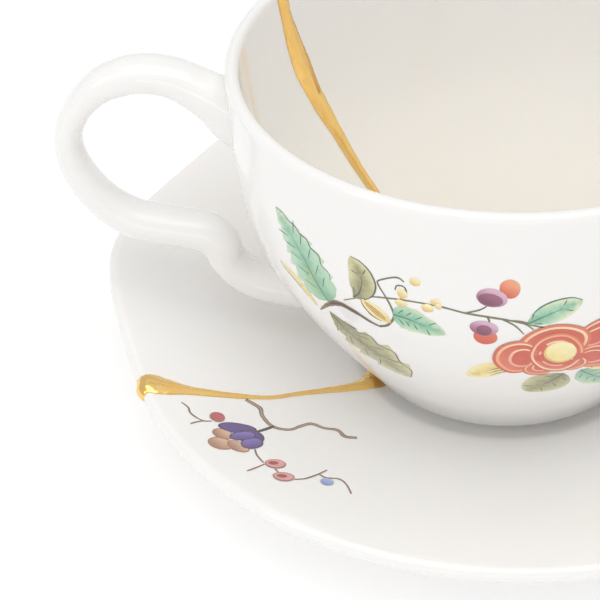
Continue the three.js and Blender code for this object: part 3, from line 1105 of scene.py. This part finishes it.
# Painted shade: the gold is darker along the fold, most of all at the small hollow where the fold ends
def markFoldShade(mesh):
    v = cupSeamValues
    steps = 48
    inside = cupValues["wall"] + v["lift"]
    spots = [pointAt(outerRadiusAt(height) - inside, turn, height) for turn, height in v["foldShadeSpots"]]
    line = splinePoints(spots, steps)
    fold_shade = mesh.verts.layers.float.new("fold_shade")
    for vert in mesh.verts:
        if vert.co.x > 0 or vert.co.y < 0:
            continue
        near = min(range(steps + 1), key=lambda i: (line[i] - vert.co).length_squared)
        fade = 1 - smoothStep((line[near] - vert.co).length, v["foldShadeCore"], v["foldShadeReach"])
        vert[fold_shade] = fade * (0.5 + 0.5 * (near / steps) ** 10)


def cupSeamLift(point):
    return cupSeamValues["lift"]


cupSeam = loftMesh(seamRings(cupSeamSpots(), cupOutline, cupSeamValues, cupSeamLift))
markFoldShade(cupSeam)
finishPiece("cup_seam_gold", cupSeam, gold, "cup_gold_seam")


def saucerSeamLift(point):
    v, well = saucerSeamValues, saucerValues["wellRadius"]
    outside = smoothStep(math.hypot(point.x, point.y), well - v["riseWidth"], well)
    return v["sunk"] + (v["lift"] - v["sunk"]) * outside


saucerRings = seamRings(saucerSeamSpots(), saucerOutline, saucerSeamValues, saucerSeamLift, warpToSherd)
saucerSeam = loftMesh(saucerRings)
finishPiece("saucer_seam_gold", saucerSeam, gold, "saucer_gold_seam")


# Canvases: on the cup, x runs round the wall and y up it; on the saucer, x and y are seen from above

wallSpots = splinePoints(outerSpots, 120)
wallLengths = [0.0]
for before, after in zip(wallSpots, wallSpots[1:]):
    wallLengths.append(wallLengths[-1] + (after - before).length)


def onCup(x, y, lift, turn=paintValues["cupTurn"]):
    y = min(max(y, 0), wallLengths[-1])
    after = next(i for i in range(1, len(wallLengths)) if wallLengths[i] >= y - 1e-9)
    share = (y - wallLengths[after - 1]) / (wallLengths[after] - wallLengths[after - 1])
    spot = wallSpots[after - 1].lerp(wallSpots[after], share)
    along = (wallSpots[after] - wallSpots[after - 1]).normalized()
    radius = spot.x + along.y * lift
    return pointAt(radius, turn + math.degrees(x / spot.x), spot.y - along.x * lift)


dishHeights = [(spot.x, spot.y) for spot in saucerTop()]


def dishHeight(radius):
    if radius <= dishHeights[0][0]:
        return saucerValues["wellHeight"] + saucerValues["wellStep"]
    return readLine(dishHeights, radius)


def onSaucer(x, y, lift):
    place = warpToSherd(Vector((x, y, dishHeight(math.hypot(x, y)))))
    return place + Vector((0, 0, lift * 1.6))


# The spray on the front of the cup: strokes have spots, widths and inks, and leaves have a middle line,
# a width, a tint and what sets their form apart

stalk = (0.42, 0.34, 0.2)

cupStrokes = (
    ([(-18.8, 46.9), (-14.1, 50), (-10.1, 51.4), (-5.5, 52.2), (-0.3, 52.3), (3.9, 51.6), (8, 51.1),
      (12.1, 50.3), (18.2, 48.2)], (0.2, 0.36, 0.36, 0.44, 0.5, 0.4), "stem", "olive"),
    ([(-11.6, 43.6), (-10, 44.7), (-8.7, 47.3), (-9.1, 49.6), (-10.1, 51.8), (-11.4, 54.2), (-10.9, 55.2),
      (-7.9, 56.8), (-6.5, 56.2)], (0.5, 0.5, 0.45, 0.36, 0.34, 0.34, 0.3), "stem"),
    ([(-7.3, 52.1), (-6.2, 53.6), (-6.5, 55.1), (-7.8, 55), (-8.2, 53.9)], (0.3, 0.32, 0.3, 0.2),
     "oliveLine"),
    ([(4.2, 51.7), (6.4, 52.7), (7.6, 53.7)], stalk, "stem"),
    ([(7.6, 51.2), (7.9, 50.2), (7.8, 49.2)], stalk, "stem"),
    ([(10, 50.8), (12.1, 49.3), (13.6, 47.2)], stalk, "stem"),
    ([(12.1, 50.4), (13.9, 49.6), (15.2, 48.3)], stalk, "stem"),
    ([(11.6, 50.5), (13.2, 50.3), (14.6, 49.8)], stalk, "stem"),
    ([(-25.4, 39.8), (-23.4, 42.6), (-21.4, 44.6), (-19.4, 45.4), (-16.2, 44.9), (-13.4, 43.9),
      (-11.4, 43.5)], (0.3, 0.9, 1.3, 1.25, 0.9, 0.6, 0.4), "ink", "inkPale"),
)

cupLeaves = (
    ([(-22.6, 44.4), (-25.0, 47.8), (-28.0, 52.6), (-31.2, 56.2), (-34.8, 59.6)], 11.2, tealLeaf,
     {"teeth": 7, "bite": 0.3, "widest": 0.36, "veins": 5, "outlined": -1}),
    ([(-26.0, 40.4), (-30.1, 44.4), (-35.9, 46.2)], 1.9, yellowLeaf,
     {"widest": 0.5, "veins": 0, "outlined": 1}),
    ([(-16.6, 48.8), (-15.2, 50.6), (-14.6, 54.2), (-16.6, 58.2)], 5.4, oliveLeaf,
     {"widest": 0.6, "veins": 2, "outlined": -1}),
    ([(-8.9, 47.9), (-5.4, 47.6), (0.6, 45.7)], 6.2, tealLeaf,
     {"teeth": 4, "bite": 0.12, "widest": 0.42, "veins": 4}),
    ([(-22.8, 41.2), (-18.9, 37.0), (-13.4, 32.6), (-8.0, 26.0)], 12.2, oliveLeaf,
     {"teeth": 5, "bite": 0.42, "widest": 0.62, "veins": 4, "outlined": 1}),
    ([(14.0, 49.6), (17.6, 51.7), (23.2, 54.4)], 4.7, tealLeaf,
     {"widest": 0.6, "veins": 2, "outlined": 1}),
)

# A bud's stripes are one line, moved up by each shift times the shares
leftBud = {
    "spots": [(-9.4, 45.5), (-12, 47.1), (-15, 49.1)],
    "width": 3.1,
    "form": {"widest": 0.52, "outlined": 1},
    "stripe": ((-10.4, 46), (-12.2, 47.1), (-14.2, 48.6)),
    "shares": (0.5, 1, 0.4),
    "shifts": (-0.5, 0.1, 0.7),
    "widths": (0.12, 0.24, 0.1),
    "ink": "sepia",
}

flowerBud = {
    "spots": [(11.4, 37.6), (8.2, 36.8), (3.4, 33.0)],
    "width": 4.6,
    "form": {"widest": 0.62},
    "stripe": ((10.6, 37.2), (8.8, 36.4), (7.4, 35.4)),
    "shares": (1, 1, 1.2),
    "shifts": (-1.2, -0.3, 0.6),
    "widths": (0.26, 0.2, 0.08),
    "ink": "oliveLine",
}

yellowBerries = (
    ((-4.6, 56.8), 1.0, 0.95), ((-6.9, 53.5), 0.9, 1.2), ((-7.2, 51.2), 1.1, 0.8),
    ((-1.0, 53.1), 0.9, 0.8), ((-2.5, 51.4), 1.1, 0.9), ((-0.6, 52.2), 0.6, 0.6),
)

flowerLeaves = (
    ([(20.2, 34.2), (17.2, 30.6), (13.0, 26.8)], 8.0, oliveLeaf, {"widest": 0.52, "veins": 3}),
    ([(23.2, 34.6), (26.0, 30.2), (30.0, 25.4)], 7.2, tealLeaf,
     {"teeth": 4, "bite": 0.1, "widest": 0.5, "veins": 4}),
    ([(23.8, 37.0), (27.6, 35.6), (32.6, 35.0)], 4.4, yellowLeaf, {"widest": 0.5, "veins": 3}),
    ([(29.6, 47.6), (33.4, 50.8), (38.6, 52.6)], 5.8, tealLeaf,
     {"teeth": 5, "bite": 0.2, "widest": 0.45, "veins": 4, "outlined": 1}),
)


def paintCupFront(painting):
    front = paintValues["frontLayer"]
    for stroke in cupStrokes:
        paintStroke(painting, *stroke)
    paintLeaves(painting, cupLeaves, front)
    painting["layer"] = front
    paintBud(painting, leftBud)
    painting["layer"] = front
    for centre, across, up in yellowBerries:
        paintOval(painting, centre, across, up, 10, "ochre", "yellowPale", 0.2)
    painting["layer"] = front
    paintOval(painting, (11.2, 57.6), 1.7, 2.1, 0, "flame", "orangePale")
    paintBerry(painting, (8.3, 55.5), 2.6, 2.0, -12)
    paintOval(painting, (7.2, 46.2), 2.0, 1.9, 0, "flame", "orange")
    paintOval(painting, (7.0, 48.4), 2.4, 1.8, -4, "mauve", "mauvePale")
    paintOval(painting, (7.0, 47.9), 1.3, 1.3, 0, "plum", "mauve")
    painting["layer"] = front
    paintBud(painting, flowerBud)
    paintLeaves(painting, flowerLeaves)
    paintFlower(painting, (19.7, 41.9), 10.8)


# Small sprays on the back of the cup and of the saucer: a stem, three leaves, a bud and a berry

cupBackSpray = {
    "stem": ([(-17, 35), (-9, 41), (-2, 44), (6, 47), (16, 54)], (0.3, 0.6, 0.6, 0.5, 0.3)),
    "leaves": (
        ([(-9, 41.4), (-12.4, 45.8), (-14.6, 52)], 6.4, tealLeaf,
         {"teeth": 6, "widest": 0.4, "outlined": 1}),
        ([(-4, 43.2), (-2.6, 39.4), (1.6, 34.6)], 5.4, oliveLeaf, {"widest": 0.5, "veins": 3}),
        ([(8, 48), (11.4, 46.8), (15.4, 43.4)], 4.8, tealLeaf, {"teeth": 4, "bite": 0.12}),
    ),
    "bud": ((16.8, 55.2), 1.8, 2.0),
    "berry": ((13.4, 56.6), 2.4, 1.9, 8),
}

saucerBackSpray = {
    "stem": ([(34, 52), (42, 48), (49, 44), (55, 36)], (0.3, 0.6, 0.6, 0.4)),
    "leaves": (
        ([(42, 48), (42.8, 53.6), (40, 60)], 6.2, tealLeaf,
         {"teeth": 6, "widest": 0.42, "outlined": 1}),
        ([(48, 44.6), (53.4, 46.8), (58.6, 47)], 5.2, oliveLeaf, {"widest": 0.5, "veins": 3}),
        ([(51, 41.6), (48.4, 38), (44, 36)], 4.6, tealLeaf, {"teeth": 4, "bite": 0.12}),
    ),
    "bud": ((55.6, 34.2), 1.8, 1.8),
    "berry": ((33.0, 53.4), 2.2, 1.8, 8),
}


# The bare twig on the front of the saucer, with its berries: places in millimetres from the axis

twigShape = (0.3, 0.4, 0.36, 0.28)

saucerStrokes = (
    ([(-50.6, -25.8), (-48.9, -26.8), (-47.6, -27.9), (-47.0, -30.3), (-44.9, -33.1), (-41.8, -33.2),
      (-39.6, -31.2), (-37.7, -29.9), (-35.3, -30.7), (-32.7, -30.8), (-31.2, -32.6), (-28.9, -32.6)],
     (0.7, 1.0, 0.9, 0.8, 0.9, 0.7, 0.7, 0.9, 0.7, 0.8, 0.9, 0.7), "barkPale", "barkDark"),
    ([(-44.7, -33.0), (-46.0, -34.4), (-47.6, -36.0)], (0.6, 0.7, 0.6), "barkDark", "ink"),
    ([(-62.2, -31.4), (-60.8, -32.6), (-60.1, -34.4), (-57.9, -35.9), (-56.1, -35.5)], twigShape, "bark"),
    ([(-59.8, -37.8), (-58.8, -36.8), (-57.6, -36.0)], twigShape, "bark"),
    ([(-47.5, -42.1), (-47.0, -44.0), (-45.6, -46.2)], twigShape, "bark"),
    ([(-48.3, -49.9), (-46.9, -48.4), (-45.4, -46.6)], twigShape, "bark"),
    ([(-43.4, -47.6), (-42.8, -48.6)], twigShape, "bark"),
    ([(-39.8, -50.2), (-37.8, -49.3), (-35.5, -47.0), (-34.1, -45.2)], twigShape, "bark"),
    ([(-35.5, -47.0), (-34.1, -48.0), (-31.8, -47.8), (-30.4, -49.4), (-29.4, -52.5)], twigShape, "bark"),
)

# place, width, height and turn, then the two colours and the colour of the line round them
clusterBerries = (
    ((-53.8, -42.3), 2.35, 2.0, -8, "tanDark", "tan", "sepia"),
    ((-53.7, -39.0), 2.0, 1.7, -20, "tanDark", "tan", "sepia"),
    ((-50.6, -42.2), 2.2, 1.6, -28, "tanDark", "tan", "sepia"),
    ((-51.2, -36.1), 3.6, 1.75, 8, "violet", "violet", "violetDark"),
    ((-48.6, -38.2), 2.6, 2.4, 40, "violetDark", "violet", "barkDark"),
    ((-48.2, -40.3), 2.4, 1.7, 48, "violet", "violetPale", "violetDark"),
    ((-50.1, -38.4), 2.7, 1.35, 32, "violet", "violetPale", "violetDark"),
)


def paintTwig(painting):
    painting["layer"] = 0
    for stroke in saucerStrokes:
        paintStroke(painting, *stroke)
    for centre, across, up, turn, low, high, line in clusterBerries:
        paintOval(painting, centre, across, up, turn, line, line)
        paintOval(painting, centre, across * 0.9, up * 0.86, turn, low, high)
    paintOval(painting, (-55.2, -33.8), 1.45, 1.6, 0, "tanDark", "dustyRed")
    paintOval(painting, (-55.2, -33.8), 1.25, 1.38, 0, "dustyRed", "dustyRed")
    for centre, turn in (((-43.5, -45.9), 20), ((-41.7, -49.9), 10)):
        paintOval(painting, centre, 1.95, 1.5, turn, "roseDark", "tanDark")
        paintOval(painting, centre, 1.75, 1.32, turn, "rose", "rose")
        eye = Vector(centre) + Vector((-0.35, 0.1))
        paintOval(painting, eye, 0.95, 0.62, turn, "roseDark", "roseDark")
    paintOval(painting, (-33.9, -49.4), 1.2, 1.2, 0, "blue", "bluePale")


cupPainting = newPainting(onCup)
paintCupFront(cupPainting)
backPainting = dict(cupPainting, place=lambda x, y, lift: onCup(x, y, lift, paintValues["backTurn"]))
paintSmallSpray(backPainting, cupBackSpray)
paintFlower(backPainting, (1.0, 48.6), 6.2)
finishPiece("cup_painting", cupPainting["mesh"], enamel)

saucerPainting = newPainting(onSaucer)
paintTwig(saucerPainting)
paintSmallSpray(saucerPainting, saucerBackSpray)
finishPiece("saucer_painting", saucerPainting["mesh"], enamel)


# Floor, light and camera

studioValues = {
    "floorSize": 3,
    "floor": {
        "Base Color": (0.65, 0.65, 0.65, 1), "Roughness": 0.7,
        "Emission Color": (1, 1, 1, 1), "Emission Strength": 0.38,
    },
    "world": {"Color": (1, 0.998, 0.994, 1), "Strength": 0.66},
    # place in metres, width, height and power of each lamp, all turned to one spot
    "lamps": {
        "overhead": ((0.0, -0.25, 1.2), 1.4, 1.2, 6.4),
        "left_window": ((-0.9, -0.5, 0.75), 0.15, 0.6, 0.9),
        "front_strip": ((-0.05, -1.0, 0.06), 0.5, 0.05, 0.3),
    },
    "aim": (0, 0, 0.04),
}


def makeStage():
    v = studioValues
    mesh = bmesh.new()
    bmesh.ops.create_grid(mesh, x_segments=8, y_segments=8, size=v["floorSize"])
    data = bpy.data.meshes.new("studio_floor")
    mesh.to_mesh(data)
    mesh.free()
    floor = bpy.data.objects.new("studio_floor", data)
    bpy.context.scene.collection.objects.link(floor)
    floor.data.materials.append(newMaterial("studio_floor", v["floor"])[0])
    world = bpy.data.worlds.new("studio")
    world.use_nodes = True
    for label, value in v["world"].items():
        world.node_tree.nodes["Background"].inputs[label].default_value = value
    bpy.context.scene.world = world


def addLight(name, place, width, height, power):
    lamp = bpy.data.lights.new(name, "AREA")
    lamp.shape = "RECTANGLE"
    lamp.size = width
    lamp.size_y = height
    lamp.energy = power
    piece = bpy.data.objects.new(name, lamp)
    bpy.context.scene.collection.objects.link(piece)
    piece.location = place
    facing = Vector(studioValues["aim"]) - Vector(place)
    piece.rotation_euler = facing.to_track_quat("-Z", "Y").to_euler()


# Where the photograph was taken from, about the axis of the cup, in millimetres and degrees
photoCamera = {
    "place": (-17.73, -266.05, 228.27),
    "turn": 5.0,
    "pitch": 38.6,
    "roll": -3.575,
    "lens": 100.64,
}


def makeCamera():
    v = photoCamera
    pitch, roll, turn = (math.radians(v[key]) for key in ("pitch", "roll", "turn"))
    forward = Vector((0, math.cos(pitch), -math.sin(pitch)))
    right, up = Vector((1, 0, 0)), Vector((0, math.sin(pitch), math.cos(pitch)))
    rolledRight = right * math.cos(roll) + up * math.sin(roll)
    rolledUp = up * math.cos(roll) - right * math.sin(roll)
    facing = Matrix((rolledRight, rolledUp, -forward)).transposed()
    facing = Matrix.Rotation(turn, 3, "Z") @ facing
    lens = bpy.data.cameras.new("photo_camera")
    lens.lens = v["lens"]
    lens.sensor_width = 36
    lens.clip_start = 0.01
    camera = bpy.data.objects.new("photo_camera", lens)
    bpy.context.scene.collection.objects.link(camera)
    camera.matrix_world = Matrix.Translation((Vector(v["place"]) + axis) * mm) @ facing.to_4x4()
    bpy.context.scene.camera = camera


makeStage()
for name, lamp in studioValues["lamps"].items():
    addLight(name, *lamp)
makeCamera()
bpy.context.scene.view_settings.view_transform = "Standard"
print("stage: floor, light and camera")
